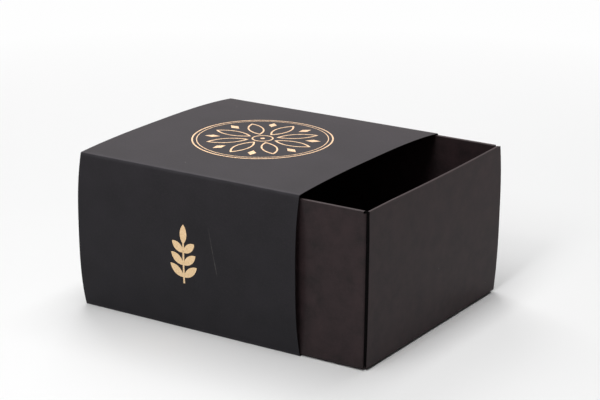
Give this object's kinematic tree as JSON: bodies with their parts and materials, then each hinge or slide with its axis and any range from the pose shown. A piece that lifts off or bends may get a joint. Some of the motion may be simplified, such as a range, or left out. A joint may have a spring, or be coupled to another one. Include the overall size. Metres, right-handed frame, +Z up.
{
  "type": "sliding drawer gift box",
  "caption": "Square matt black folded-board gift box: an open-ended sleeve with gold foil ornaments and a double-wall tray that slides out like a drawer.",
  "frame": {"origin": "centre of the sleeve's underside, on the surface that the box stands on", "axes": "+X is the way the tray slides out, +Z is up, and -Y is the tray's left side as its front is faced"},
  "size_m": [0.1664, 0.1385, 0.0821],
  "materials": {
    "soft_touch_board": "matt black soft-touch laminate on folding board",
    "dyed_board": "uncoated folding board, dyed black through",
    "adhesive": "dried dispersion glue film",
    "gold_foil": "hot-stamped metallic foil, pale gold"
  },
  "bodies": {
    "sleeve": {"sleeve_base_panel": "soft_touch_board", "sleeve_left_panel": "soft_touch_board", "sleeve_top_panel": "soft_touch_board", "sleeve_right_panel": "soft_touch_board", "sleeve_glue_flap": "soft_touch_board", "sleeve_glue_film": "adhesive", "top_foil_rosette": "gold_foil", "side_foil_sprig": "gold_foil"},
    "tray": {"tray_base": "dyed_board", "tray_front_panel": "dyed_board", "tray_front_rim": "dyed_board", "tray_front_lining": "dyed_board", "tray_back_panel": "dyed_board", "tray_back_rim": "dyed_board", "tray_back_lining": "dyed_board", "tray_left_panel": "dyed_board", "tray_left_rim": "dyed_board", "tray_left_lining": "dyed_board", "tray_right_panel": "dyed_board", "tray_right_rim": "dyed_board", "tray_right_lining": "dyed_board", "corner_tab_front_left": "dyed_board", "corner_tab_front_right": "dyed_board", "corner_tab_back_left": "dyed_board", "corner_tab_back_right": "dyed_board"}
  },
  "joints": [
    {"name": "tray_slide", "type": "slide", "parent": "sleeve", "child": "tray", "axis": [1, 0, 0], "range_m": [-0.0364, 0.0996]}
  ]
}
